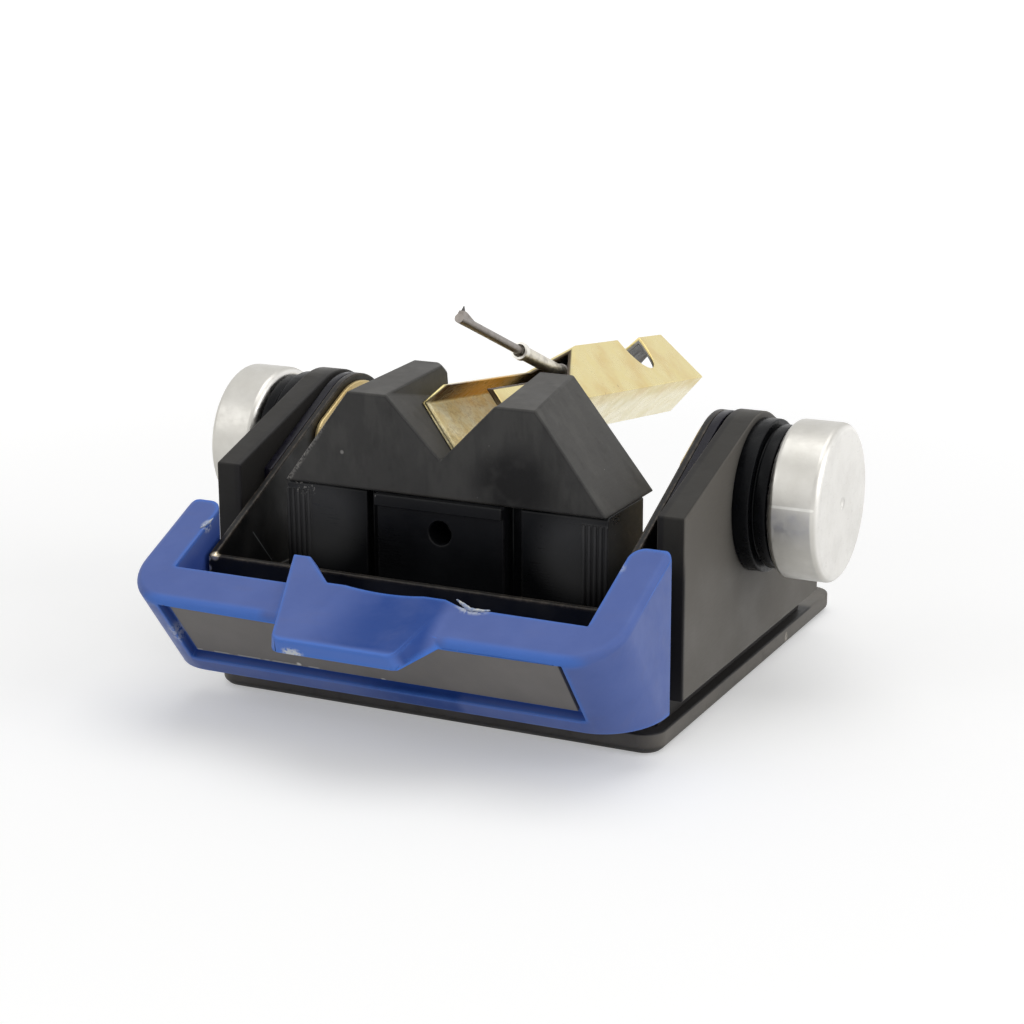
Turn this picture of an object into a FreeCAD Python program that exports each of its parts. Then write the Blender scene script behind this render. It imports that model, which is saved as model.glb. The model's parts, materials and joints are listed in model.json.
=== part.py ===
import FreeCAD, Part
import math
import os

V = FreeCAD.Vector

# Driving dimensions, millimetres and degrees; tiny only tells equal places apart
tiny = 0.001
# The part lies tip up on its base plate; -Y is the front with the handle, +Y the shank's tail
base_width = 20.0
base_depth = 21.2
base_thickness = 0.9
base_corner_radius = 0.9
base_edge_chamfer = 0.25

# Frame: a floor web with two ears
web_side_setback = 0.4
web_front_setback = 1.0
web_thickness = 1.0
web_depth = 16.6
ear_overhang = 0.45
ear_thickness = 1.15
ear_front_setback = 1.36
ear_front_height = 9.26
ear_depth = 16.2
ear_back_height = 8.0
ear_top_radius = 3.4
rest_rib_width = 10.0
rest_rib_thickness = 0.8
rest_rib_setback = 3.3

# Pivot line through both ears
pivot_setback = 9.5
pivot_height = 8.3
pin_radius = 1.0
running_clearance = 0.05
fit_clearance = 0.02
end_clearance = 0.08
side_clearance = 0.15
cut_margin = 1.0

# Stepped collar and knob on each side
collar_shank_radius = 1.6
collar_flange_radius = 3.15
collar_flange_thickness = 0.7
collar_groove_radius = 2.75
collar_groove_width = 0.15
collar_neck_radius = 2.95
collar_neck_width = 0.5
knob_radius = 3.26
knob_thickness = 2.15
knob_edge_chamfer = 0.2
knob_bore_depth = 1.4
knob_dimple_radius = 0.28
knob_dimple_depth = 0.16

# Blue front handle
handle_overhang = 0.55
handle_arm_thickness = 1.62
handle_edge_front = 4.24
handle_edge_height = 6.49
handle_top_slope = 24.1
handle_face_lean = 38.0
handle_bar_width = 2.1
handle_corner_radius = 2.2
handle_edge_radius = 0.3
arm_inner_radius = 0.65
left_arm_outer_radius = 0.5
right_arm_outer_radius = 0.2
left_arm_setback = 0.45
handle_floor_thickness = 1.0
handle_floor_reach = 3.0
label_recess_width = 17.3
label_recess_top = 0.33
label_recess_height = 3.6
label_recess_depth = 0.45
label_margin = 0.3
label_thickness = 0.2
tab_lift = 0.32
tab_thickness = 0.6
tab_length = 3.45
tab_draft = 0.12
tab_rear_left = 3.65
tab_front_left = 2.55
tab_rear_right = 3.2
tab_front_right = 2.6
tab_corner_radius = 0.5
horn_length = 1.3
horn_end_width = 0.75
horn_root_width = 1.75
flank_reach = 1.3
dish_depth = 0.22
dish_radius = 10.0
dish_offset = 0.6
dish_ahead = 1.25

# Folded sheet tray that swings on the pins
sheet = 0.3
tray_front = 2.1
tray_floor_height = 4.4
tray_rim_height = 6.4
tray_pivot_radius = 3.3
tray_floor_depth = 11.6
tray_bend_radius = 0.6
back_lean = 0.07
pivot_plate_thickness = 0.4
pivot_plate_front_setback = 2.9
pivot_plate_drop = 2.7
cheek_thickness = 0.2
cheek_radius = 3.0
cheek_front_setback = 5.9
cheek_corner_radius = 1.0

# Block holder on the tray floor
holder_side_gap = 1.05
holder_front_setback = 1.6
holder_depth = 3.5
holder_height = 4.15
holder_edge_chamfer = 0.12
panel_width = 5.7
panel_thickness = 0.55
panel_gap = 0.6
panel_gap_depth = 0.5
ledge_height = 0.5
hole_radius = 0.5
hole_depth = 1.3
hole_drop = 1.4
rib_count = 5
rib_width = 0.13
rib_pitch = 0.24
rib_proud = 0.1
rib_top_drop = 0.35

# Stylus grip with the V notch that carries the shank
grip_front_setback = 1.4
grip_depth = 4.8
grip_top_width_front = 8.36
grip_top_width_rear = 7.28
grip_height_front = 4.0
grip_height_rear = 4.45
notch_width_front = 4.7
notch_draft = 0.2
notch_depth = 2.4

# Square brass shank, set on edge in the notch
shank_side = 2.75
shank_wall = 0.25
shank_slope = 7.3
shank_start = 1.3
trough_lift = 0.8
trough_top_start = 2.2
mouth_side_start = 10.0
mouth_top_start = 12.6
shank_hole_at = 18.6
shank_hole_radius = 1.25
shank_top_end = 22.6
shank_bottom_end = 24.5

# Cantilever in its rubber bearing
bearing_at = 13.6
bearing_thickness = 1.0
hinge_lift = 0.12
cantilever_rise = 22.9
sleeve_radius = 0.31
sleeve_front_reach = 7.05
sleeve_rear_reach = 1.2
bead_radius = 0.38
bead_length = 0.3
mouth_radius = 0.28
mouth_depth = 0.6
damper_radius = 0.4
damper_start = 1.5
damper_end = 2.6
thin_radius = 0.19
thin_wall = 0.06
thin_overlap = 1.6
cantilever_reach = 13.0
plug_length = 1.9
boss_length = 1.75
boss_root_width = 0.3
boss_top_width = 0.22
boss_top_length = 0.26
boss_height = 0.34
tip_radius = 0.09
tip_foot = 0.1
tip_height = 0.22
tip_from_end = 0.26
tip_point_radius = 0.015
magnet_side = 0.8
magnet_start = 0.85
magnet_length = 1.8

# Places worked out from the driving dimensions
front = -base_depth / 2
web_bottom = base_thickness
web_top = web_bottom + web_thickness
web_half = base_width / 2 - web_side_setback
ear_outer = base_width / 2 + ear_overhang
ear_inner = ear_outer - ear_thickness
ear_front = front + ear_front_setback
ear_back = ear_front + ear_depth
pivot_y = front + pivot_setback
plate_outer = ear_inner - side_clearance
tray_outer = plate_outer - pivot_plate_thickness
tray_inner = tray_outer - sheet
cheek_inner = tray_inner - cheek_thickness
tray_front_y = front - tray_front
tray_back_y = tray_front_y + tray_floor_depth
holder_half = cheek_inner - holder_side_gap
holder_bottom = tray_floor_height + sheet
holder_top = holder_bottom + holder_height
holder_front = front + holder_front_setback
grip_front = front + grip_front_setback
grip_bottom = holder_top
shank_half = shank_side / math.sqrt(2)
bore_half = (shank_side - 2 * shank_wall) / math.sqrt(2)


def polygon_face(points):
    return Part.Face(Part.makePolygon(points + [points[0]]))


def box(x0, x1, y0, y1, z0, z1):
    return Part.makeBox(x1 - x0, y1 - y0, z1 - z0, V(x0, y0, z0))


def rod(radius, x_start, x_end):
    """A round bar on the pivot line."""
    return Part.makeCylinder(radius, x_end - x_start, V(x_start, pivot_y, pivot_height), V(1, 0, 0))


def mirrored(shape):
    return shape.mirror(V(0, 0, 0), V(1, 0, 0))


def tangent_angle(point, radius, above):
    """Angle on the circle about the pivot where a line from point touches it."""
    dy = point[0] - pivot_y
    dz = point[1] - pivot_height
    reach = math.hypot(dy, dz)
    spread = math.acos(radius / reach)
    towards = math.atan2(dz, dy)
    return towards - spread if above else towards + spread


def on_circle(radius, angle):
    return (pivot_y + radius * math.cos(angle), pivot_height + radius * math.sin(angle))


def cheek_plate(front_points, back_points, radius, x_start, x_end):
    """A plate whose straight edges run tangent onto a round top about the pivot."""
    first = tangent_angle(front_points[-1], radius, True)
    last = tangent_angle(back_points[0], radius, False)
    if first < 0:
        first += 2 * math.pi
    arc_points = [on_circle(radius, a) for a in (first, (first + last) / 2, last)]
    start, middle, end = [V(x_start, y, z) for y, z in arc_points]
    corners = [V(x_start, y, z) for y, z in back_points + front_points]
    loop = [end] + corners + [start]
    edges = [Part.LineSegment(a, b).toShape() for a, b in zip(loop, loop[1:])]
    edges.append(Part.Arc(start, middle, end).toShape())
    return Part.Face(Part.Wire(edges)).extrude(V(x_end - x_start, 0, 0))


# Base plate
def make_base_plate():
    plate = box(-base_width / 2, base_width / 2, front, front + base_depth, 0, base_thickness)
    upright = [e for e in plate.Edges if e.BoundBox.ZLength > tiny]
    plate = plate.makeFillet(base_corner_radius, upright)
    lower = [e for e in plate.Edges if e.BoundBox.ZMax < tiny]
    return plate.makeChamfer(base_edge_chamfer, lower)


# Frame with its two ears
def make_frame():
    web_front = front + web_front_setback
    shape = box(-web_half, web_half, web_front, web_front + web_depth, web_bottom, web_top)
    ear = cheek_plate(
        [(ear_front, web_top), (ear_front, ear_front_height)],
        [(ear_back, ear_back_height), (ear_back, web_top)],
        ear_top_radius, ear_inner, ear_outer)
    bore = rod(collar_shank_radius + fit_clearance, ear_inner - cut_margin, ear_outer + cut_margin)
    ear = ear.cut(bore)
    rib_front = front + rest_rib_setback
    rib = box(-rest_rib_width / 2, rest_rib_width / 2, rib_front, rib_front + rest_rib_thickness,
              web_top, tray_floor_height - end_clearance)
    return shape.fuse([ear, mirrored(ear), rib]).removeSplitter()


# Stepped collar, its shank through the ear
def make_collar():
    flange_end = ear_outer + collar_flange_thickness
    groove_end = flange_end + collar_groove_width
    neck_end = groove_end + collar_neck_width
    shape = rod(collar_shank_radius, ear_inner, ear_outer)
    shape = shape.fuse([
        rod(collar_flange_radius, ear_outer, flange_end),
        rod(collar_groove_radius, flange_end, groove_end),
        rod(collar_neck_radius, groove_end, neck_end)])
    bore = rod(pin_radius + running_clearance, ear_inner - cut_margin, neck_end + cut_margin)
    return shape.cut(bore).removeSplitter()


def knob_inner_face():
    return ear_outer + collar_flange_thickness + collar_groove_width + collar_neck_width + end_clearance


# Turned aluminium knob, pressed on the pin
def make_knob():
    inner = knob_inner_face()
    outer = inner + knob_thickness
    shape = rod(knob_radius, inner, outer)
    rims = [e for e in shape.Edges if isinstance(e.Curve, Part.Circle)]
    shape = shape.makeChamfer(knob_edge_chamfer, rims)
    dimple = Part.makeCone(0, knob_dimple_radius, knob_dimple_depth,
                           V(outer - knob_dimple_depth, pivot_y, pivot_height), V(1, 0, 0))
    bore = rod(pin_radius + fit_clearance, inner, inner + knob_bore_depth)
    return shape.cut(dimple).cut(bore)


def make_pin():
    return rod(pin_radius, cheek_inner, knob_inner_face() + knob_bore_depth)


# Dark pivot plate between the tray side and the ear
def make_pivot_plate():
    front_y = front + pivot_plate_front_setback
    rim = tray_rim_at(front_y)
    foot = pivot_height - pivot_plate_drop
    shape = cheek_plate(
        [(front_y, foot), (front_y, rim)],
        [(pivot_y + tray_pivot_radius + back_lean, pivot_height), (pivot_y + tray_pivot_radius, foot)],
        tray_pivot_radius, tray_outer, plate_outer)
    return shape.cut(rod(pin_radius + fit_clearance, tray_outer - cut_margin, plate_outer + cut_margin))


# Brass cheek against the inside of the tray
def make_brass_cheek():
    front_y = front + cheek_front_setback
    shape = cheek_plate(
        [(front_y, holder_bottom), (front_y, tray_rim_at(front_y) - sheet)],
        [(pivot_y + cheek_radius + back_lean, pivot_height), (tray_back_y - sheet, holder_bottom)],
        cheek_radius, cheek_inner, tray_inner)
    corner = [e for e in shape.Edges if e.BoundBox.YMax < front_y + tiny and e.BoundBox.ZLength < tiny
              and e.BoundBox.ZMin > holder_bottom + tiny]
    shape = shape.makeFillet(cheek_corner_radius, corner)
    return shape.cut(rod(pin_radius + fit_clearance, cheek_inner - cut_margin, tray_inner + cut_margin))


def tray_rim_at(y):
    """Height of the tray's straight side rim at y."""
    start = (tray_front_y, tray_rim_height)
    touch = on_circle(tray_pivot_radius, tangent_angle(start, tray_pivot_radius, True))
    return start[1] + (y - start[0]) * (touch[1] - start[1]) / (touch[0] - start[0])


# Folded sheet tray
def make_tray():
    sides = cheek_plate(
        [(tray_front_y, tray_floor_height), (tray_front_y, tray_rim_height)],
        [(pivot_y + tray_pivot_radius + back_lean, pivot_height), (tray_back_y, tray_floor_height)],
        tray_pivot_radius, -tray_outer, tray_outer)
    bends = [e for e in sides.Edges if abs(e.CenterOfMass.z - tray_floor_height) < tiny
             and e.BoundBox.XLength < tiny]
    sides = sides.makeFillet(tray_bend_radius, bends)
    above = pivot_height + tray_pivot_radius + cut_margin
    behind = max(tray_back_y, pivot_y + tray_pivot_radius + back_lean) + cut_margin
    hollow = box(-tray_inner, tray_inner, tray_front_y + sheet, behind, tray_floor_height + sheet, above)
    above_lip = box(-tray_inner, tray_inner, tray_front_y - cut_margin, behind, tray_rim_height, above)
    bore = rod(pin_radius + fit_clearance, -tray_outer - cut_margin, tray_outer + cut_margin)
    return sides.cut(hollow).cut(above_lip).cut(bore)


# Blue handle, worked out on its tilted top plane
top_slope = math.radians(handle_top_slope)
face_lean = math.radians(handle_face_lean)
edge_y = front - handle_edge_front
down_face = V(0, math.sin(face_lean), -math.cos(face_lean))
out_of_face = V(0, -math.cos(face_lean), -math.sin(face_lean))
up_top = V(0, -math.sin(top_slope), math.cos(top_slope))
down_top = V(0, -math.cos(top_slope), -math.sin(top_slope))
handle_half = base_width / 2 + handle_overhang


def on_top(x, ahead, lift=0.0):
    """A point on the handle's top plane, ahead of the bar's inner edge by a distance along the slope."""
    return V(x, edge_y, handle_edge_height) + down_top * ahead + up_top * lift


def on_face(x, down, inward=0.0):
    """A point on the handle's front face, measured down the face from the nose."""
    return on_top(x, handle_bar_width) + down_face * down - out_of_face * inward


def under_top(half, ahead, behind, depth):
    """A block hung from the top plane, running down along the lean of the front face."""
    corners = [on_top(-half, -behind), on_top(-half, ahead), on_top(half, ahead), on_top(half, -behind)]
    return polygon_face(corners).extrude(down_face * depth)


def arm_corner(x, y, inward, radius, bottom, top):
    """What is cut off an upright rear corner of an arm to round it; inward points into the arm."""
    xs = sorted((x - inward * cut_margin, x + inward * radius))
    waste = box(xs[0], xs[1], y - radius, y + cut_margin, bottom, top)
    core = Part.makeCylinder(radius, top - bottom, V(x + inward * radius, y - radius, bottom))
    return waste.cut(core)


def face_block(half, down_start, down_end, inward_start, inward_end):
    """A block let into the handle's front face."""
    corners = [on_face(-half, down_start, inward_start), on_face(half, down_start, inward_start),
               on_face(half, down_end, inward_start), on_face(-half, down_end, inward_start)]
    return polygon_face(corners).extrude(out_of_face * (inward_start - inward_end))


def tab_outline(level, spread, flank):
    """Outline of the finger tab at one level, with a horn behind its left and a flank on its right."""
    taper = (tab_rear_left - tab_front_left) / tab_length
    horn_left = -tab_rear_left - taper * horn_length
    points = [(horn_left - spread, -horn_length - spread),
              (horn_left + horn_end_width + spread, -horn_length - spread),
              (-tab_rear_left + horn_root_width + spread, 0),
              (tab_rear_right + flank, 0),
              (tab_rear_right + flank, handle_bar_width / 2),
              (tab_front_right + spread, tab_length + spread),
              (-tab_front_left - spread, tab_length + spread)]
    return Part.makePolygon([on_top(x, ahead, level) for x, ahead in points + [points[0]]])


def make_tab():
    shape = Part.makeLoft([tab_outline(tab_lift, 0, 0),
                           tab_outline(tab_lift - tab_thickness, tab_draft, flank_reach)], True, True)
    tip_edges = [e for e in shape.Edges
                 if all((v.Point - on_top(0, tab_length)).dot(down_top) > -tiny for v in e.Vertexes)]
    corners = [e for e in tip_edges if e.BoundBox.XLength < tab_thickness]
    shape = shape.makeFillet(tab_corner_radius, corners)
    dish_centre = on_top(dish_offset, dish_ahead, tab_lift - dish_depth + dish_radius)
    return shape.cut(Part.makeSphere(dish_radius, dish_centre))


def label_block(margin, inward_start, inward_end):
    """A block inside the label's recess, this far from its rim."""
    return face_block(label_recess_width / 2 - margin, label_recess_top + margin,
                      label_recess_top + label_recess_height - margin, inward_start, inward_end)


def make_handle():
    inner_half = handle_half - handle_arm_thickness
    arm_back = front
    left_back = arm_back - left_arm_setback
    rise = (arm_back - edge_y) * math.tan(top_slope)
    behind = (arm_back - edge_y) / math.cos(top_slope) + cut_margin
    depth = (handle_edge_height + rise - web_top) / math.cos(face_lean) + 2 * cut_margin
    above = handle_edge_height + rise + cut_margin
    ahead = edge_y - handle_bar_width - cut_margin
    shape = under_top(handle_half, handle_bar_width, behind, depth)
    corners = [e for e in shape.Edges if e.BoundBox.XLength < tiny
               and all(abs((v.Point - on_face(0, 0)).dot(out_of_face)) < tiny for v in e.Vertexes)]
    shape = shape.makeFillet(handle_corner_radius, corners)
    rim = [e for e in shape.Edges if e.CenterOfMass.y < arm_back + cut_margin / 2
           and all(abs((v.Point - on_top(0, 0)).dot(up_top)) < tiny for v in e.Vertexes)]
    shape = shape.makeFillet(handle_edge_radius, rim)
    shape = shape.common(box(-handle_half, handle_half, ahead, arm_back, web_top, above))
    floor_top = web_top + handle_floor_thickness
    hollow = under_top(inner_half, 0, behind + cut_margin, depth + cut_margin)
    hollow.translate(down_face * -cut_margin)
    hollow = hollow.common(box(-inner_half, inner_half, ahead, arm_back + depth,
                               floor_top, above + cut_margin))
    floor_half = min(inner_half, ear_inner - fit_clearance)
    floor = box(-floor_half, floor_half, arm_back - cut_margin, front + handle_floor_reach,
                web_top, floor_top)
    pocket = label_block(0, label_recess_depth, -cut_margin)
    label_room = label_block(label_margin - fit_clearance, label_recess_depth,
                             label_recess_depth - label_thickness - fit_clearance)
    left_end = box(-handle_half - cut_margin, -inner_half, left_back, arm_back + cut_margin, web_top, above)
    waste = [
        arm_corner(handle_half, arm_back, -1, right_arm_outer_radius, web_top, above),
        arm_corner(inner_half, arm_back, 1, arm_inner_radius, floor_top, above),
        arm_corner(-handle_half, left_back, 1, left_arm_outer_radius, web_top, above),
        arm_corner(-inner_half, left_back, -1, arm_inner_radius, floor_top, above)]
    shape = shape.cut(hollow).cut(pocket).cut(left_end).cut(waste).fuse([floor, make_tab()])
    return shape.cut(label_room).removeSplitter()


def make_label():
    return label_block(label_margin, label_recess_depth, label_recess_depth - label_thickness)


# Block holder
def make_holder():
    back = holder_front + holder_depth
    panel_front = holder_front - panel_thickness
    ledge_bottom = holder_top - ledge_height
    shape = box(-holder_half, holder_half, holder_front, back, holder_bottom, holder_top)
    brow = [e for e in shape.Edges
            if e.BoundBox.YMax < holder_front + tiny and e.BoundBox.ZMin > holder_top - tiny]
    shape = shape.makeChamfer(holder_edge_chamfer, brow)
    panel = box(-panel_width / 2, panel_width / 2, panel_front, holder_front + holder_edge_chamfer,
                holder_bottom, holder_top)
    below = box(-panel_width / 2, panel_width / 2, panel_front, panel_front + panel_thickness / 2,
                holder_bottom, ledge_bottom)
    for side in (-1, 1):
        middle = side * (panel_width + panel_gap) / 2
        gap = box(middle - panel_gap / 2, middle + panel_gap / 2, holder_front - cut_margin,
                  holder_front + panel_gap_depth, holder_bottom - cut_margin, holder_top + cut_margin)
        shape = shape.cut(gap)
        for i in range(rib_count):
            x = side * (holder_half - rib_width / 2 - i * rib_pitch)
            rib = box(x - rib_width / 2, x + rib_width / 2, holder_front - rib_proud, holder_front,
                      holder_bottom, holder_top - rib_top_drop)
            shape = shape.fuse(rib)
    hole = Part.makeCylinder(hole_radius, panel_thickness + hole_depth,
                             V(0, panel_front, holder_top - hole_drop), V(0, 1, 0))
    return shape.fuse(panel.cut(below)).cut(hole).removeSplitter()


# Shank places, measured along its axis from the grip's front face
slope = math.radians(shank_slope)
shank_along = V(0, math.cos(slope), -math.sin(slope))
shank_up = V(0, math.sin(slope), math.cos(slope))
notch_bottom = grip_bottom + grip_height_front - notch_depth
shank_axis_start = V(0, grip_front, notch_bottom) + shank_up * (shank_half + fit_clearance)


def on_shank(x, along, lift):
    return shank_axis_start + V(x, 0, 0) + shank_along * along + shank_up * lift


def shank_cut(outline):
    """Prism across X from (along, lift) points beside the shank."""
    face = polygon_face([on_shank(-2 * shank_side, a, n) for a, n in outline])
    return face.extrude(V(4 * shank_side, 0, 0))


def diamond(half, start, end):
    corners = [on_shank(half, start, 0), on_shank(0, start, half),
               on_shank(-half, start, 0), on_shank(0, start, -half)]
    return polygon_face(corners).extrude(shank_along * (end - start))


# Stylus grip
def grip_section(y, top_half, height):
    top = grip_bottom + height
    points = [V(-holder_half, y, grip_bottom), V(-top_half, y, top),
              V(top_half, y, top), V(holder_half, y, grip_bottom)]
    return Part.makePolygon(points + [points[0]])


def notch_section(z, widen):
    """Plan of the notch at one height: wide at the front, down to the shank's width at the rear."""
    rear = grip_front + grip_depth
    front_half = notch_width_front / 2 + widen
    rear_half = shank_half + 2 * fit_clearance + widen
    beyond = rear + cut_margin
    points = [V(-front_half, grip_front, z), V(front_half, grip_front, z), V(rear_half, rear, z),
              V(rear_half, beyond, z), V(-rear_half, beyond, z), V(-rear_half, rear, z)]
    return Part.makePolygon(points + [points[0]])


def make_grip():
    shape = Part.makeLoft([
        grip_section(grip_front, grip_top_width_front / 2, grip_height_front),
        grip_section(grip_front + grip_depth, grip_top_width_rear / 2, grip_height_rear)], True, True)
    reach = 2 * shank_side
    floor = -shank_half - 2 * fit_clearance
    wedge = polygon_face([on_shank(0, -cut_margin, floor), on_shank(reach, -cut_margin, floor + reach),
                          on_shank(-reach, -cut_margin, floor + reach)])
    wedge = wedge.extrude(shank_along * (grip_depth + 3 * cut_margin))
    notch_top = grip_bottom + grip_height_rear + cut_margin
    notch = Part.makeLoft([notch_section(grip_bottom, -notch_draft), notch_section(notch_top, notch_draft)],
                          True, True)
    return shape.cut(wedge.common(notch))


# Brass shank: open trough ahead of the mouth, full tube behind it
def make_shank():
    beyond = 2 * shank_half
    over = beyond - shank_half
    before = shank_start - cut_margin
    past = shank_bottom_end + cut_margin
    tube = diamond(shank_half, shank_start, shank_bottom_end)
    tube = tube.cut(diamond(bore_half, before, past))
    open_top = shank_cut([(before, trough_lift), (mouth_side_start, trough_lift),
                          (mouth_top_start, shank_half), (mouth_top_start, beyond), (before, beyond)])
    front_run = (trough_top_start - shank_start) / (trough_lift + shank_half)
    low_start = shank_start - front_run * over
    high_start = trough_top_start + front_run * (beyond - trough_lift)
    bevel = shank_cut([(low_start - cut_margin, -beyond), (low_start, -beyond), (high_start, beyond),
                       (low_start - cut_margin, beyond)])
    tail_run = (shank_bottom_end - shank_top_end) / (2 * shank_half) * over
    tail = shank_cut([(shank_top_end - tail_run, beyond), (shank_bottom_end + tail_run, -beyond),
                      (past + tail_run, -beyond), (past + tail_run, beyond)])
    hole = Part.makeCylinder(shank_hole_radius, beyond, on_shank(0, shank_hole_at, 0), shank_up)
    return tube.cut(open_top).cut(bevel).cut(tail).cut(hole)


# Cantilever, measured forward along its axis from the centre of the bearing
rise = math.radians(cantilever_rise)
hinge = on_shank(0, bearing_at, hinge_lift)
cantilever_along = V(0, -math.cos(rise), math.sin(rise))
cantilever_up = V(0, math.sin(rise), math.cos(rise))


def on_cantilever(x, ahead, lift):
    return hinge + V(x, 0, 0) + cantilever_along * ahead + cantilever_up * lift


def cantilever_rod(radius, start, end):
    return Part.makeCylinder(radius, end - start, on_cantilever(0, start, 0), cantilever_along)


def make_bearing():
    radius = shank_side / 2 - shank_wall - running_clearance
    rear = on_shank(0, bearing_at - bearing_thickness / 2, 0)
    disc = Part.makeCylinder(radius, bearing_thickness, rear, shank_along)
    bore = cantilever_rod(sleeve_radius + running_clearance, -bearing_thickness, bearing_thickness)
    return disc.cut(bore)


def make_sleeve():
    beyond = sleeve_front_reach + cut_margin
    shape = cantilever_rod(sleeve_radius, -sleeve_rear_reach, sleeve_front_reach)
    bead = cantilever_rod(bead_radius, sleeve_front_reach - bead_length, sleeve_front_reach)
    bore = cantilever_rod(thin_radius + fit_clearance, sleeve_front_reach - thin_overlap, beyond)
    mouth = cantilever_rod(mouth_radius, sleeve_front_reach - mouth_depth, beyond)
    return shape.fuse(bead).cut(bore).cut(mouth).removeSplitter()


# Rubber damper on the sleeve, inside the shank's mouth
def make_damper():
    shape = cantilever_rod(damper_radius, damper_start, damper_end)
    return shape.cut(cantilever_rod(sleeve_radius + fit_clearance, damper_start - cut_margin,
                                    damper_end + cut_margin))


def boss_section(width, start, end, lift):
    corners = [on_cantilever(-width / 2, start, lift), on_cantilever(width / 2, start, lift),
               on_cantilever(width / 2, end, lift), on_cantilever(-width / 2, end, lift)]
    return Part.makePolygon(corners + [corners[0]])


# Thin tube, closed at its end under the boss that holds the tip
tip_ahead = cantilever_reach - tip_from_end


def make_thin_tube():
    start = sleeve_front_reach - thin_overlap
    tube = cantilever_rod(thin_radius, start, cantilever_reach)
    hollow_end = cantilever_reach - plug_length
    tube = tube.cut(cantilever_rod(thin_radius - thin_wall, start - cut_margin, hollow_end))
    boss = Part.makeLoft([
        boss_section(boss_root_width, cantilever_reach - boss_length, cantilever_reach, 0),
        boss_section(boss_top_width, tip_ahead - boss_top_length / 2, tip_ahead + boss_top_length / 2,
                     boss_height)], True, True)
    socket = Part.makeCylinder(tip_radius + fit_clearance, boss_height + tip_foot + cut_margin,
                               on_cantilever(0, tip_ahead, -tip_foot), cantilever_up)
    return tube.fuse(boss).cut(socket)


def make_tip():
    foot = on_cantilever(0, tip_ahead, -tip_foot)
    shank = Part.makeCylinder(tip_radius, tip_foot + boss_height, foot, cantilever_up)
    shoulder = on_cantilever(0, tip_ahead, boss_height)
    point = Part.makeCone(tip_radius, tip_point_radius, tip_height, shoulder, cantilever_up)
    return shank.fuse(point)


def make_magnet():
    half = magnet_side / math.sqrt(2)
    corners = [on_cantilever(half, -magnet_start, 0), on_cantilever(0, -magnet_start, half),
               on_cantilever(-half, -magnet_start, 0), on_cantilever(0, -magnet_start, -half)]
    bar = polygon_face(corners).extrude(cantilever_along * -magnet_length)
    return bar.cut(cantilever_rod(sleeve_radius + fit_clearance, -sleeve_rear_reach, 0))


def main():
    nodes = {
        "base_plate": make_base_plate(),
        "frame": make_frame(),
        "front_handle": make_handle(),
        "label_plate": make_label(),
        "cradle_tray": make_tray(),
        "block_holder": make_holder(),
        "stylus_grip": make_grip(),
        "shank_tube": make_shank(),
        "bearing_ring": make_bearing(),
        "cantilever_sleeve": make_sleeve(),
        "damper_collar": make_damper(),
        "cantilever_tube": make_thin_tube(),
        "stylus_tip": make_tip(),
        "magnet": make_magnet(),
    }
    sided = {
        "collar": make_collar(),
        "knob": make_knob(),
        "pivot_pin": make_pin(),
        "pivot_plate": make_pivot_plate(),
        "brass_cheek": make_brass_cheek(),
    }
    for name, shape in sided.items():
        nodes["right_" + name] = shape
        nodes["left_" + name] = mirrored(shape)
    os.makedirs("parts", exist_ok=True)
    for name, shape in nodes.items():
        shape.exportStep("parts/" + name + ".step")
        print(name, shape.isValid(), len(shape.Solids), round(shape.Volume, 3))


main()
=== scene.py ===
"""Looks of a record player's stylus in its carrier: softened edges, finishes, wear, light and camera."""
import json
import math
import random

import bmesh
import bpy
from mathutils import Matrix, Vector


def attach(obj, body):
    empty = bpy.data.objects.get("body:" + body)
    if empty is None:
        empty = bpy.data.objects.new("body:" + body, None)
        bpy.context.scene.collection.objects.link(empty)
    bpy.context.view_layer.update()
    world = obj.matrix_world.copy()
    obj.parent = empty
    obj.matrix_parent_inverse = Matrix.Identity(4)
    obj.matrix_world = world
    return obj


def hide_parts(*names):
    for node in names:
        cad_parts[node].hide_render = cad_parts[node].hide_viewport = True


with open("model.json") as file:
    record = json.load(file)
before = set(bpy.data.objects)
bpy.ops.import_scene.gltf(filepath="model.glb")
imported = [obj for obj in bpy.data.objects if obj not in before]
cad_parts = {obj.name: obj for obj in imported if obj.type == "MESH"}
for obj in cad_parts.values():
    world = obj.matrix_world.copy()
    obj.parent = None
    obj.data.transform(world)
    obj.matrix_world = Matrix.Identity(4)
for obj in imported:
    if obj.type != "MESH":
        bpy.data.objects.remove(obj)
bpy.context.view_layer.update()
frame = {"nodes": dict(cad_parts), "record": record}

MM = 0.001

# Edge rounding of each moulded, folded or turned piece, in millimetres
SOFT_EDGES = {
    "base_plate": 0.10,
    "frame": 0.08,
    "front_handle": 0.06,
    "label_plate": 0.03,
    "cradle_tray": 0.06,
    "block_holder": 0.05,
    "stylus_grip": 0.09,
    "shank_tube": 0.06,
    "left_collar": 0.06,
    "right_collar": 0.06,
    "left_knob": 0.10,
    "right_knob": 0.10,
    "left_pivot_plate": 0.08,
    "right_pivot_plate": 0.08,
    "left_brass_cheek": 0.06,
    "right_brass_cheek": 0.06,
}
SOFT_SEGMENTS = 3
# Nodes whose short edges would otherwise narrow the rounding everywhere
FULL_ROUNDING = ("frame", "front_handle")
# A corner worn away: its node, place and reach in millimetres
WORN_CORNERS = {"stylus_grip": ((-2.11, -4.4, 13.3), 0.42)}
CORNER_SEARCH = 0.1
SHARP_ANGLE = math.radians(32)
FLAT_ANGLE = math.radians(0.4)
CREASE_ANGLE = math.radians(50)
WELD = 0.0005 * MM
ROUND_PROFILE = 0.5

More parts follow.
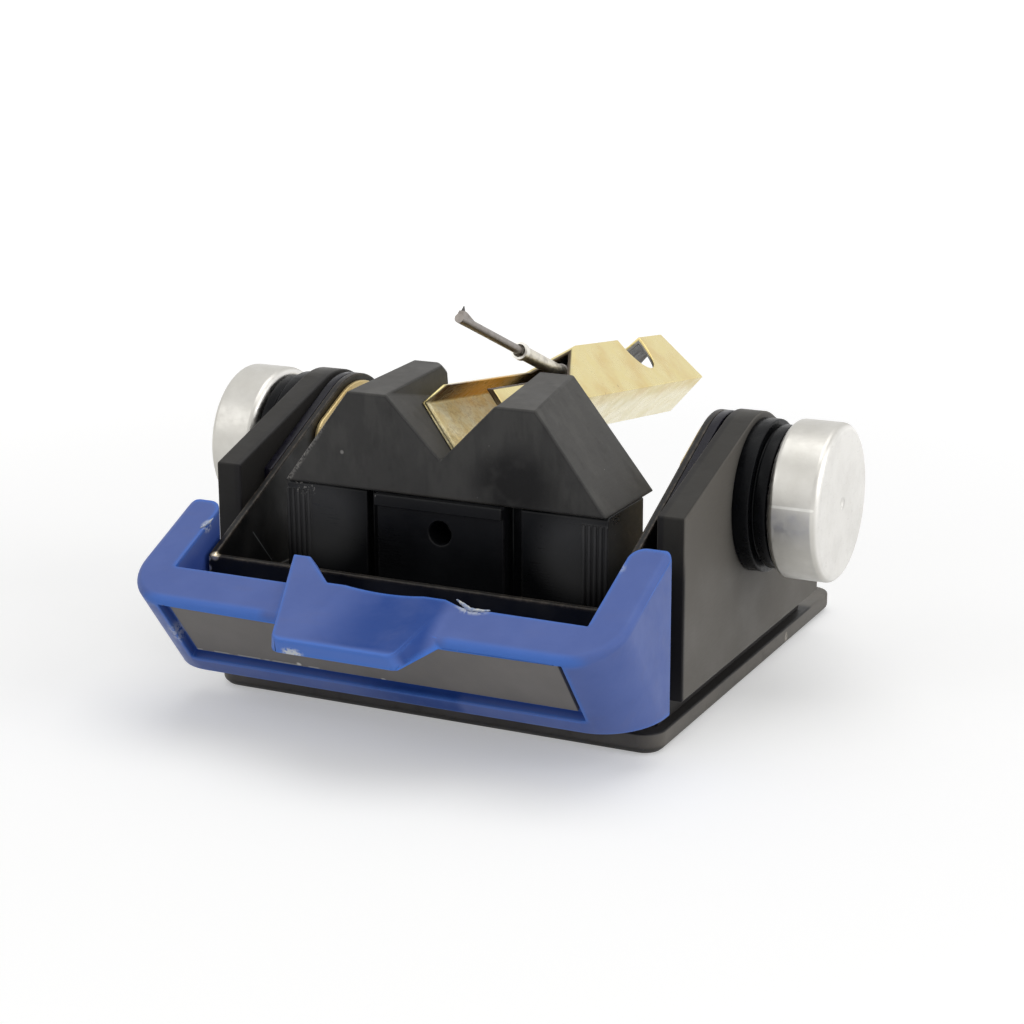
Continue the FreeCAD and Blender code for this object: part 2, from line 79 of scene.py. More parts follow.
# The photograph's camera, in millimetres of the part's frame
CAMERA_PLACE = (41.75, -88.63, 33.05)
CAMERA_TARGET = (1.4, -5.565, 7.582)
CAMERA_ROLL = math.radians(-0.23)
CAMERA_LENS = 82.17
SENSOR_WIDTH = 36.0
CLIP_NEAR = 0.005
CLIP_FAR = 20.0

# Pivot line and shank, taken from the record, in millimetres
PIVOT = [c / MM for c in frame["record"]["behaviour"]["joints"][0]["pos_m"]]
SHANK = next(m for m in frame["record"]["mounts"] if m["name"] == "shank")
SHANK_END = [c / MM for c in SHANK["pos_m"]]
SHANK_ALONG = SHANK["axis"]
SHANK_UP = (0, -SHANK_ALONG[2], SHANK_ALONG[1])
SWAY = next(j for j in frame["record"]["behaviour"]["joints"] if j["name"] == "stylus_sway")
HINGE = [c / MM for c in SWAY["pos_m"]]
CANTILEVER_AHEAD = (0, -SWAY["axis"][2], SWAY["axis"][1])

# Places on the frame and base plate, in millimetres
EAR_OUTER = 10.45
EAR_FRONT = -9.24
EAR_FOOT = 1.9
BASE_TOP = 0.9
# The handle's top rear edge, and the slopes of its top and face
HANDLE_EDGE = (0, -14.84, 6.49)
TOP_SLOPE = math.radians(24.1)
FACE_LEAN = math.radians(38)

# Shader masks: likeness of a face's own and rounded normals off and on an edge, and ray counts
EDGE_LIKENESS = (0.995, 0.86)
EDGE_SAMPLES = 6
HOLLOW_SAMPLES = 8
# Share of a spot's radius that is fully marked, and the softness of a dust veil
SPOT_CORE = 0.35
VEIL_ROUGHNESS = 0.6


class Look:
    """A material being built, with its textures measured in millimetres of the part's frame."""

    def __init__(self, name, color, roughness, metallic=0.0, specular=0.5):
        self.material = bpy.data.materials.new(name)
        self.material.use_nodes = True
        self.tree = self.material.node_tree
        self.shader = self.tree.nodes["Principled BSDF"]
        self.shader.inputs["Base Color"].default_value = (*color, 1)
        self.shader.inputs["Roughness"].default_value = roughness
        self.shader.inputs["Metallic"].default_value = metallic
        self.shader.inputs["Specular IOR Level"].default_value = specular
        coordinates = self.tree.nodes.new("ShaderNodeTexCoord")
        self.place = self.math_vector("SCALE", coordinates.outputs["Object"], scale=1 / MM)

    def add(self, kind, **settings):
        node = self.tree.nodes.new(kind)
        for key, value in settings.items():
            setattr(node, key, value)
        return node

    def feed(self, socket, value):
        if isinstance(value, bpy.types.NodeSocket):
            self.tree.links.new(value, socket)
        else:
            socket.default_value = value

    def math(self, operation, a, b=0.0, clamp=False):
        node = self.add("ShaderNodeMath", operation=operation, use_clamp=clamp)
        self.feed(node.inputs[0], a)
        self.feed(node.inputs[1], b)
        return node.outputs[0]

    def times(self, first, *others):
        """Product of several masks or numbers."""
        for other in others:
            first = self.math("MULTIPLY", first, other)
        return first

    def math_vector(self, operation, a, b=None, scale=None):
        node = self.add("ShaderNodeVectorMath", operation=operation)
        self.feed(node.inputs[0], a)
        if b is not None:
            self.feed(node.inputs[1], b)
        if scale is not None:
            self.feed(node.inputs["Scale"], scale)
        return node.outputs["Value" if operation in ("LENGTH", "DISTANCE", "DOT_PRODUCT") else "Vector"]

    def along(self, origin, direction):
        """Distance of the surface from an origin, measured in one direction."""
        return self.math_vector("DOT_PRODUCT", self.math_vector("SUBTRACT", self.place, origin), direction)

    def axis(self, index):
        """One coordinate of the surface in the part's frame."""
        return self.along((0, 0, 0), [float(i == index) for i in range(3)])

    def sideways(self):
        """Distance of the surface from the part's middle plane."""
        return self.math("ABSOLUTE", self.axis(0))

    def noise(self, scale, detail=3.0, roughness=0.55, stretch=(1, 1, 1)):
        node = self.add("ShaderNodeTexNoise")
        self.feed(node.inputs["Vector"], self.math_vector("MULTIPLY", self.place, stretch))
        node.inputs["Scale"].default_value = scale
        node.inputs["Detail"].default_value = detail
        node.inputs["Roughness"].default_value = roughness
        return node.outputs["Fac"]

    def ragged(self, scale, low, high):
        """A torn, patchy mask."""
        return self.span(self.noise(scale, 4, 0.7), low, high)

    def specks(self, scale, size):
        """Small round spots, scattered without order; 1 inside a spot."""
        node = self.add("ShaderNodeTexVoronoi", feature="F1")
        self.feed(node.inputs["Vector"], self.place)
        node.inputs["Scale"].default_value = scale
        return self.span(node.outputs["Distance"], size, size * 0.5)

    def span(self, value, low, high, out_low=0.0, out_high=1.0):
        """Maps low..high of a value to out_low..out_high, smoothly and clamped."""
        node = self.add("ShaderNodeMapRange", interpolation_type="SMOOTHSTEP")
        self.feed(node.inputs["Value"], value)
        node.inputs["From Min"].default_value = low
        node.inputs["From Max"].default_value = high
        node.inputs["To Min"].default_value = out_low
        node.inputs["To Max"].default_value = out_high
        return node.outputs["Result"]

    def mix(self, factor, a, b):
        node = self.add("ShaderNodeMix", data_type="RGBA")
        self.feed(node.inputs["Factor"], factor)
        for socket, value in ((node.inputs[6], a), (node.inputs[7], b)):
            self.feed(socket, value if isinstance(value, bpy.types.NodeSocket) else (*value, 1))
        return node.outputs[2]

    def edges(self, radius):
        """1 on the convex and hollow edges of a piece, 0 on its open faces."""
        bevel = self.add("ShaderNodeBevel", samples=EDGE_SAMPLES)
        bevel.inputs["Radius"].default_value = radius * MM
        geometry = self.add("ShaderNodeNewGeometry")
        likeness = self.math_vector("DOT_PRODUCT", bevel.outputs["Normal"], geometry.outputs["Normal"])
        return self.span(likeness, *EDGE_LIKENESS)

    def hollow_shade(self, reach, open_at=0.8, closed_at=0.3):
        """1 deep in gaps and recesses narrower than about the reach, 0 in the open: the mask of painted
        shade.
        """
        node = self.add("ShaderNodeAmbientOcclusion", samples=HOLLOW_SAMPLES)
        node.inputs["Distance"].default_value = reach * MM
        return self.span(node.outputs["AO"], open_at, closed_at)

    def near(self, center, radius, stretch=(1, 1, 1)):
        """1 at a place of the part, falling to 0 at a distance from it; a stretch over 1 narrows it."""
        middle = [c * s for c, s in zip(center, stretch)]
        away = self.math_vector("DISTANCE", self.math_vector("MULTIPLY", self.place, stretch), middle)
        return self.span(away, radius, radius * SPOT_CORE)

    def stroke(self, start, end, width):
        """1 along a straight line of the part, falling to 0 at half a width from it."""
        run = Vector(end) - Vector(start)
        share = self.math("DIVIDE", self.along(start, run), run.length_squared, clamp=True)
        nearest = self.math_vector("ADD", self.math_vector("SCALE", tuple(run), scale=share), start)
        return self.span(self.math_vector("DISTANCE", self.place, nearest), width / 2, width / 5)

    def color(self, value):
        self.feed(self.shader.inputs["Base Color"], value)

    def metallic(self, value):
        self.feed(self.shader.inputs["Metallic"], value)

    def roughness(self, value):
        self.feed(self.shader.inputs["Roughness"], value)

    def dusty(self, weight, tint):
        """A thin pale veil of dust, seen at a slant."""
        self.shader.inputs["Sheen Weight"].default_value = weight
        self.shader.inputs["Sheen Roughness"].default_value = VEIL_ROUGHNESS
        self.shader.inputs["Sheen Tint"].default_value = (*tint, 1)

    def bump(self, *layers):
        """Adds relief; each layer is a height from 0 to 1 and its depth in millimetres."""
        normal = None
        for height, depth in layers:
            node = self.add("ShaderNodeBump")
            node.inputs["Strength"].default_value = 1.0
            node.inputs["Distance"].default_value = depth * MM
            self.feed(node.inputs["Height"], height)
            if normal is not None:
                self.feed(node.inputs["Normal"], normal)
            normal = node.outputs["Normal"]
        self.feed(self.shader.inputs["Normal"], normal)


# Colours of dust and lint, the near black of painted shade, and the tint of a veil of dust
DUST = (0.47, 0.45, 0.42)
LINT = (0.40, 0.39, 0.37)
SHADE_BLACK = (0.003, 0.003, 0.005)
WARM_VEIL = (1.0, 0.94, 0.84)


def moulded_black(name, color, roughness, specular, edge_color, dust=0.42):
    """Black moulded plastic with grain, faint clouds, lint and coloured edges: rubbed where the edge colour
    is lighter, a painted dark reflection where it is darker; its tone takes further marks.
    """
    look = Look(name, color, roughness, specular=specular)
    cloud = look.noise(0.35, 4)
    dark_patch = look.noise(1.1, 4, 0.6, (1, 1, 0.5))
    edge = look.times(look.edges(0.16), look.ragged(2.2, 0.30, 0.62), 0.75)
    tone = look.mix(look.span(cloud, 0.3, 0.75), color, [c * 1.5 for c in color])
    tone = look.mix(look.times(look.span(dark_patch, 0.5, 0.75), 0.45), tone, [c * 0.5 for c in color])
    tone = look.mix(edge, tone, edge_color)
    lint = look.times(look.specks(1.6, 0.05), look.span(look.noise(0.8, 2), 1 - dust, 1.05 - dust))
    look.tone = look.mix(lint, tone, LINT)
    streak = look.noise(5, 3, 0.6, (0.25, 0.25, 2.5))
    mottle = look.math("ADD", cloud, look.times(streak, 0.35))
    look.roughness(look.span(mottle, 0.35, 0.95, roughness - 0.09, roughness + 0.12))
    look.bump((look.noise(14, 2, 0.6), 0.003), (cloud, 0.006))
    look.color(look.tone)
    return look


# The base plate's top is painted dark as shade under the ears and handle, up to this place at the back
GROOVE_BACK = 7.2
# A pale chip on the base plate's right edge: place in millimetres, reach and stretch
CHIP = ((10.0, 4.2, 0.4), 0.22, (1, 1, 0.6))
CHIP_TONE = (0.45, 0.42, 0.36)


def base_plastic():
    look = moulded_black("black_plate", (0.105, 0.097, 0.086), 0.52, 0.25, (0.15, 0.14, 0.125))
    chip = look.near(*CHIP)
    tone = look.mix(look.times(chip, look.ragged(9, 0.42, 0.5)), look.tone, CHIP_TONE)
    # Painted shade in gaps and recesses, and on the top face under the ears and handle
    tone = look.mix(look.times(look.hollow_shade(1.0), 0.8), tone, SHADE_BLACK)
    groove_shade = look.times(look.span(look.axis(2), BASE_TOP - 0.10, BASE_TOP - 0.03),
                        look.span(look.axis(1), GROOVE_BACK + 0.6, GROOVE_BACK))
    look.color(look.mix(groove_shade, tone, SHADE_BLACK))
    look.dusty(0.06, WARM_VEIL)
    return look.material


# Height behind the handle's arms below which the ears' fronts are painted dark as the arms' shadow, and their
# dark inner edge
ARM_SHADE = (8.0, 6.6)
EAR_INNER_EDGE = (9.66, 9.52)
# The left ear's front and inner side are painted darker as shade, from this place outwards
LEFT_EAR = (-8.5, -9.0)


def frame_plastic():
    look = moulded_black("black_frame", (0.016, 0.0152, 0.0138), 0.5, 0.16, (0.042, 0.039, 0.035))
    # The ears' outer faces are painted lighter: painted light from the right
    lit_outer = look.span(look.sideways(), EAR_OUTER - 0.06, EAR_OUTER - 0.01)
    tone = look.mix(look.times(lit_outer, 0.8), look.tone, (0.115, 0.107, 0.095))
    # Painted shade on the left ear's front and inner side
    left_ear_shade = look.span(look.axis(0), *LEFT_EAR)
    tone = look.mix(look.times(left_ear_shade, look.math("SUBTRACT", 1.0, lit_outer), 0.6), tone, (0.004, 0.004, 0.005))
    # Painted shade on the ears' fronts behind the arms, on the dark line at their foot and in their gaps;
    # their inner edge is darkened too
    front = look.span(look.axis(1), EAR_FRONT + 0.25, EAR_FRONT + 0.08)
    painted_shade = look.times(front, look.span(look.axis(2), *ARM_SHADE))
    painted_shade = look.math("MAXIMUM", painted_shade, look.span(look.axis(2), EAR_FOOT + 0.04, EAR_FOOT - 0.04))
    painted_shade = look.math("MAXIMUM", painted_shade, look.times(look.span(look.sideways(), *EAR_INNER_EDGE), 0.8))
    painted_shade = look.math("MAXIMUM", painted_shade, look.times(look.hollow_shade(1.6), 0.8))
    look.color(look.mix(painted_shade, tone, SHADE_BLACK))
    look.dusty(0.12, WARM_VEIL)
    return look.material


# Painted reflections on the holder's glossy front: lighter places left and right of its dark centre panel
HOLDER_REFLECTIONS = (((-5.7, -9.0, 7.4), 2.6), ((5.9, -9.0, 7.2), 2.4))
# A crumb of dust on the holder's left top corner
HOLDER_CRUMB = ((-6.3, -9.0, 8.8), 0.7)


def holder_plastic():
    look = moulded_black("holder_black", (0.0045, 0.0047, 0.0055), 0.30, 0.16, (0.035, 0.035, 0.034), 0.45)
    tone = look.tone
    for center, reach in HOLDER_REFLECTIONS:
        # Painted soft reflections on the holder's front
        tone = look.mix(look.times(look.near(center, reach), 0.8), tone, (0.075, 0.075, 0.076))
    crumb = look.times(look.near(*HOLDER_CRUMB), look.ragged(7, 0.55, 0.62))
    look.color(look.mix(crumb, tone, DUST))
    return look.material


# Marks on the grip's front, in millimetres: the dusty left edge, a crumb of dust and a dark patch
GRIP_DUST_EDGE = ((-7.0, -9.2, 9.0), (-5.3, -9.1, 11.3), 0.36)
GRIP_CRUMB = ((-4.46, -9.2, 10.32), 0.11)
GRIP_DARK_PATCH = ((3.3, -9.2, 9.8), 2.0, (0.8, 1, 1))


def grip_plastic():
    # The grip's edge colour is near black: a painted dark reflection on its rounded edges
    look = moulded_black("grip_black", (0.047, 0.046, 0.0445), 0.5, 0.16, (0.005, 0.005, 0.006), 0.44)
    dark_patch = look.times(look.near(*GRIP_DARK_PATCH), look.span(look.noise(0.9, 2), 0.2, 0.5, 0.4, 1.0), 0.9)
    rub = look.times(look.span(look.noise(1.0, 3, 0.6, (1, 1, 0.35)), 0.48, 0.66), 0.5)
    tone = look.mix(rub, look.tone, (0.085, 0.083, 0.078))
    tone = look.mix(dark_patch, tone, (0.003, 0.003, 0.004))
    # Painted dark reflection along the grip's edges
    tone = look.mix(look.times(look.edges(0.22), 0.8), tone, (0.005, 0.005, 0.006))
    dusty_edge = look.times(look.stroke(*GRIP_DUST_EDGE), look.span(look.noise(12, 2), 0.35, 0.75), 0.6)
    tone = look.mix(dusty_edge, tone, DUST)
    look.color(look.mix(look.times(look.near(*GRIP_CRUMB), 0.6), tone, DUST))
    look.dusty(0.09, WARM_VEIL)
    return look.material


# White stress marks and nicks on the blue moulding: place in millimetres, reach, stretch, strength
STRESS_MARKS = (
    ((-1.7, -17.95, 4.88), 0.36, (0.6, 0.6, 1.3), 1.0),
    ((-8.70, -15.3, 3.8), 0.75, (1.6, 1, 1), 0.45),
    ((-8.93, -12.4, 7.55), 0.40, (1.3, 1, 1), 0.8),
    ((8.90, -11.8, 7.85), 0.45, (1.4, 1, 1), 0.35),
    ((4.25, -14.85, 6.50), 0.70, (0.8, 1.8, 1.8), 0.8),
)
# Sideways reach of the painted dark reflection in the tab's finger dish: where it starts, is full, and fades
DISH_LEFT = (-2.0, 1.0)
DISH_RIGHT = (3.6, 3.1)
DISH_REAR = (-1.1, 0.0)
DISH_FRONT = (3.45, 3.05)
# Reach ahead where a highlight is painted along the tab's front edge
TAB_RIM_HIGHLIGHT = (3.15, 3.5)
ARM_INNER = 8.93
# The handle's rounded front edge, ahead of its top rear edge, with its painted highlight: place, start beside
# the tab, reach and depth
NOSE = 2.1
NOSE_START = (3.6, 4.2)
NOSE_REACH = (0.6, 0.2)
NOSE_DEPTH = (-0.6, -0.2)
BLUE =(0.096, 0.150, 0.415)
BLUE_PALE = (0.112, 0.170, 0.450)
BLUE_DULL = (0.125, 0.162, 0.380)
BLUE_HIGHLIGHT = (0.070, 0.215, 0.720)
BLUE_RIM_HIGHLIGHT = (0.105, 0.245, 0.760)
BLUE_SHADE = (0.026, 0.068, 0.310)
BLUE_DISH_REFLECTION = (0.022, 0.070, 0.300)
TORN = (0.66, 0.70, 0.76)


def blue_moulding():
    look = Look("blue_plastic", BLUE, 0.42, specular=0.16)
    flow = look.noise(1.6, 3, 0.55, (0.3, 1, 1))
    tone = look.mix(look.span(look.noise(0.5, 4), 0.3, 0.75), BLUE, BLUE_PALE)
    tone = look.mix(look.times(look.span(flow, 0.5, 0.8), 0.35), tone, BLUE_DULL)
    ahead = look.along(HANDLE_EDGE, (0, -math.cos(TOP_SLOPE), -math.sin(TOP_SLOPE)))
    # Painted dark reflection of the black block in the tab's finger dish
    dish_reflection = look.times(look.span(look.axis(0), *DISH_LEFT), look.span(look.axis(0), *DISH_RIGHT),
                      look.span(ahead, *DISH_REAR), look.span(ahead, *DISH_FRONT),
                      look.span(look.noise(0.7, 3), 0.2, 0.6, 0.75, 1.0))
    tone = look.mix(dish_reflection, tone, BLUE_DISH_REFLECTION)
    # Painted highlight along the tab's rounded front edge
    tone = look.mix(look.times(look.span(ahead, *TAB_RIM_HIGHLIGHT), 0.7), tone, BLUE_RIM_HIGHLIGHT)
    # Painted highlight glowing along the moulding's edges
    edge_highlight = look.times(look.edges(0.38), look.span(look.noise(1.7, 3), 0.2, 0.5, 0.6, 0.95))
    tone = look.mix(edge_highlight, tone, BLUE_HIGHLIGHT)
    # Painted shade in gaps and recesses
    tone = look.mix(look.times(look.hollow_shade(1.0, 0.70, 0.30), 0.7), tone, BLUE_SHADE)
    # Painted shade on the arms' inner walls
    sunk = look.along(HANDLE_EDGE, (0, -math.sin(TOP_SLOPE), math.cos(TOP_SLOPE)))
    behind = look.along(HANDLE_EDGE, (0, math.cos(FACE_LEAN), math.sin(FACE_LEAN)))
    arm_inner_shade = look.times(look.span(look.sideways(), ARM_INNER + 0.10, ARM_INNER + 0.03),
                       look.span(look.sideways(), ARM_INNER - 0.4, ARM_INNER - 0.3),
                       look.span(behind, 0.05, 0.4), look.span(sunk, -0.05, -0.9), 0.7)
    tone = look.mix(arm_inner_shade, tone, BLUE_SHADE)
    # Painted highlight along the bar's rounded front edge, beside the tab
    from_nose = look.math("ABSOLUTE", look.math("SUBTRACT", ahead, NOSE))
    nose_highlight = look.times(look.span(from_nose, *NOSE_REACH), look.span(sunk, *NOSE_DEPTH),
                      look.span(look.sideways(), *NOSE_START), 0.6)
    tone = look.mix(nose_highlight, tone, BLUE_HIGHLIGHT)
    torn = look.ragged(5.0, 0.42, 0.52)
    for center, reach, stretch, strength in STRESS_MARKS:
        tone = look.mix(look.times(look.near(center, reach, stretch), torn, strength), tone, TORN)
    nick = look.times(look.edges(0.12), look.ragged(3.1, 0.66, 0.72), 0.6)
    look.color(look.mix(nick, tone, TORN))
    look.roughness(look.span(look.noise(0.9, 4), 0.3, 0.75, 0.36, 0.50))
    look.bump((look.noise(9, 3, 0.6), 0.0025), (look.noise(1.1, 2), 0.014))
    return look.material


def torn_flash():
    """Moulding flash torn to a pale ragged thread."""
    look = Look("torn_flash", TORN, 0.6)
    look.color(look.mix(look.span(look.noise(5, 4, 0.7), 0.35, 0.65), (0.72, 0.73, 0.70), (0.24, 0.33, 0.55)))
    look.roughness(look.span(look.noise(8, 3), 0.3, 0.7, 0.5, 0.75))
    look.bump((look.noise(14, 3), 0.02))
    return look.material


# Lower edge of the label where its film has flaked, in millimetres
FLAKED_EDGE = ((-8.3, -14.37, 2.99), (-2.6, -14.37, 2.99), 0.10)
FLAKES = (((-3.59, -14.42, 3.04), 0.14), ((0.14, -14.31, 2.91), 0.16))


def bare_label():
    """The label's place, left plain: a dull grey film with a flaked lower edge."""
    base = (0.178, 0.167, 0.157)
    look = Look("label_grey", base, 0.6, specular=0.3)
    cloud = look.noise(0.6, 4)
    tone = look.mix(look.span(cloud, 0.3, 0.75), base, (0.215, 0.203, 0.192))
    # Painted shade in the label's recesses
    tone = look.mix(look.times(look.hollow_shade(0.6), 0.4), tone, (0.05, 0.05, 0.06))
    dashes = look.span(look.noise(1.6, 2, 0.5, (1, 0, 0)), 0.42, 0.50)
    flaked = look.times(look.stroke(*FLAKED_EDGE), dashes)
    tone = look.mix(flaked, tone, (0.42, 0.42, 0.40))
    for center, reach in FLAKES:
        tone = look.mix(look.near(center, reach), tone, (0.70, 0.68, 0.62))
    look.color(tone)
    look.roughness(look.span(cloud, 0.3, 0.75, 0.5, 0.66))
    look.bump((look.noise(20, 2), 0.0015), (look.noise(2.5, 2), 0.004))
    return look.material


# Bare spots on the tray's front left corner, a scratch inside its left side and a haze on its front
BARE_SPOTS = (((-8.45, -12.65, 6.4), 0.26), ((-8.75, -12.7, 5.85), 0.17), ((-8.72, -12.7, 6.25), 0.12))
TRAY_SCRATCH = ((-8.45, -9.78, 6.63), (-8.45, -8.38, 5.04), 0.05)
TRAY_HAZE = ((1.0, -12.6, 6.3), 2.4, (0.6, 1, 1))


def folded_tray():
    """Blackened sheet, rubbed through to bronze along its rims and bright at one corner."""
    base = (0.0055, 0.0055, 0.0060)
    look = Look("tray_sheet", base, 0.38, specular=0.22)
    cloud = look.noise(0.7, 4)
    worn = look.times(look.edges(0.22), look.ragged(2.4, 0.30, 0.56))
    tone = look.mix(look.span(cloud, 0.3, 0.8), base, (0.011, 0.0105, 0.010))
    bronze = look.mix(look.span(look.noise(3.7, 3), 0.4, 0.65), (0.075, 0.056, 0.038), (0.16, 0.13, 0.10))
    tone = look.mix(worn, tone, bronze)
    haze = look.times(look.near(*TRAY_HAZE), look.span(look.noise(0.8, 2), 0.3, 0.7, 0.4, 1.0), 0.5)
    tone = look.mix(haze, tone, (0.026, 0.0245, 0.023))
    tone = look.mix(look.times(look.stroke(*TRAY_SCRATCH), 0.5), tone, (0.30, 0.31, 0.32))
    bare = 0.0
    for center, reach in BARE_SPOTS:
        bare = look.math("MAXIMUM", bare, look.near(center, reach))
    look.color(look.mix(bare, tone, (0.92, 0.80, 0.58)))
    look.metallic(look.math("MAXIMUM", look.times(worn, 0.4), bare))
    look.roughness(look.span(cloud, 0.3, 0.75, 0.30, 0.48))
    look.bump((look.noise(11, 3, 0.6), 0.002), (look.noise(1.3, 2), 0.010))
    return look.material


def satin_black(name, color, specular, rub_color):
    """Dark anodised or varnished metal with a rubbed rim."""
    look = Look(name, color, 0.3, specular=specular)
    tone = look.mix(look.span(look.noise(0.9, 4), 0.3, 0.75), color, [c * 2 for c in color])
    rub = look.times(look.edges(0.14), look.ragged(2.8, 0.42, 0.62), 0.8)
    look.color(look.mix(rub, tone, rub_color))
    look.roughness(look.span(look.noise(3.0, 4), 0.3, 0.75, 0.24, 0.42))
    look.bump((look.noise(13, 3, 0.65), 0.002))
    return look.material


def brass(name, color, stain, metallic):
    """Thin brass: pale where rubbed, browner where it has dulled, with fine drawn lines and scuffs."""
    look = Look(name, color, 0.3, metallic, 0.06)
    tone = look.mix(look.span(look.noise(0.6, 4, 0.5), 0.40, 0.75), color, stain)
    scuff = look.span(look.noise(7.5, 3, 0.65, (2.2, 0.35, 2.2)), 0.60, 0.68)
    tone = look.mix(look.times(scuff, 0.18), tone, (0.40, 0.30, 0.14))
    spot = look.times(look.specks(1.1, 0.10), look.span(look.noise(0.9, 2), 0.5, 0.6), 0.5)
    look.tone = look.mix(spot, tone, (0.30, 0.20, 0.09))
    look.color(look.tone)
    look.roughness(look.span(look.noise(1.4, 4), 0.3, 0.75, 0.24, 0.42))
    look.bump((look.noise(16, 2, 0.5, (2.5, 0.12, 2.5)), 0.003), (look.noise(1.5, 3), 0.016))
    return look


# Where the shank's trough starts and its inside turns dark with painted shade, back from its tail in
# millimetres
TROUGH_FRONT = -22.4
TROUGH_DARK = (-13.8, -16.6)
# Where the left lip's inside turns from painted shade to orange, back from the shank's tail
LIP_SHADE = (-21.2, -17.4)
CRUMPLE = 1.0
# Half the shank's width across its flats, midway in its wall and at its outer face
SHANK_SKIN = 1.25
SHANK_HALF = 1.375
SKIN_BLUR = 0.04
RIM_BLUR = (0.01, 0.04)
SMUDGE = ((0, 8.8, 11.6), 3.6)


def diagonal(half):
    """Half the diagonal of a square shank that measures twice this half across its flats."""
    return half * math.sqrt(2)


def shank_brass():
    """The shank: cream below, yellow above, painted shade inside, a pale trough wall brightened with painted
    light, creases and brown lips in painted shade, and a crumpled front on its trough.
    """
    look = brass("shank_brass", (0.76, 0.65, 0.31), (0.69, 0.53, 0.22), 1.0)
    lift = look.along(SHANK_END, SHANK_UP)
    back = look.along(SHANK_END, SHANK_ALONG)
    ring = look.math("ADD", look.sideways(), look.math("ABSOLUTE", lift))
    inside = look.span(ring, diagonal(SHANK_SKIN + SKIN_BLUR), diagonal(SHANK_SKIN - SKIN_BLUR))
    cream = look.times(look.span(lift, -0.1, -0.9), look.span(look.noise(0.9, 3), 0.2, 0.6, 0.5, 1.0))
    tone = look.mix(cream, look.tone, (0.86, 0.80, 0.57))
    trough = look.times(inside, look.span(back, *TROUGH_DARK))
    # Painted shade inside the closed tube
    bore_shade = look.times(inside, look.span(back, TROUGH_DARK[1], TROUGH_DARK[0]))
    tone = look.mix(bore_shade, tone, (0.075, 0.050, 0.024))
    # Pale brass on the trough's inner wall, painted lighter as light where the grip shades it
    lit_wall = look.mix(look.ragged(1.3, 0.35, 0.65), (0.90, 0.74, 0.38), (0.97, 0.88, 0.60))
    tone = look.mix(trough, tone, lit_wall)
    wrinkle = look.span(look.noise(1.5, 3, 0.6, (1, 0.6, 1)), 0.47, 0.53)
    # Painted shade in the creases of the trough's wrinkles
    crease_shade = look.times(wrinkle, look.math("SUBTRACT", 1.0, wrinkle), 4.0)
    tone = look.mix(look.times(crease_shade, trough, 0.3), tone, (0.50, 0.34, 0.12))
    upper = look.times(look.span(lift, -0.05, 0.12), look.span(back, *TROUGH_DARK))
    # Painted shade on the left lip's inside: orange brass turning dark brown towards the trough's front
    lip_shade = look.mix(look.span(back, *LIP_SHADE), (0.07, 0.036, 0.014), (0.78, 0.42, 0.09))
    tone = look.mix(look.times(upper, inside, look.span(look.axis(0), 0.1, -0.1)), tone, lip_shade)
    within = look.span(ring, diagonal(SHANK_HALF - RIM_BLUR[0]), diagonal(SHANK_HALF - RIM_BLUR[1]))
    # Painted shadow on the right lip, inside and out
    right_lip_shadow = look.times(upper, within, look.span(look.axis(0), -0.1, 0.1))
    tone = look.mix(right_lip_shadow, tone, (0.055, 0.032, 0.014))
    smudge = look.times(look.near(*SMUDGE), inside)
    tone = look.mix(smudge, tone, (0.74, 0.74, 0.73))
    front = look.span(back, TROUGH_FRONT + CRUMPLE, TROUGH_FRONT + CRUMPLE / 4)
    bright = look.times(front, look.ragged(3.5, 0.30, 0.55))
    look.color(look.mix(bright, tone, (0.94, 0.80, 0.44)))
    dull = look.math("MAXIMUM", look.math("MAXIMUM", inside, right_lip_shadow), look.times(front, 0.8))
    look.metallic(look.span(dull, 0, 1, 1.0, 0.1))
    crumple = look.times(front, look.noise(3.2, 4, 0.6))
    look.bump((look.noise(16, 2, 0.5, (2.5, 0.12, 2.5)), 0.0012), (look.noise(1.5, 3), 0.016),
              (crumple, 0.12), (look.times(trough, look.noise(1.5, 3, 0.6, (1, 0.6, 1))), 0.12))
    return look.material


# The knob's turned side starts at this radius; a light tool line crosses its front, in millimetres
KNOB_SIDE_RADIUS = (3.10, 3.22)
KNOB_LINE = ((11.5, -4.33, 8.75), (14.5, -4.33, 8.75), 0.16)
# Spacing of the turning marks on the face and on the side
RING_PITCH = 0.06
SIDE_PITCH = 0.05


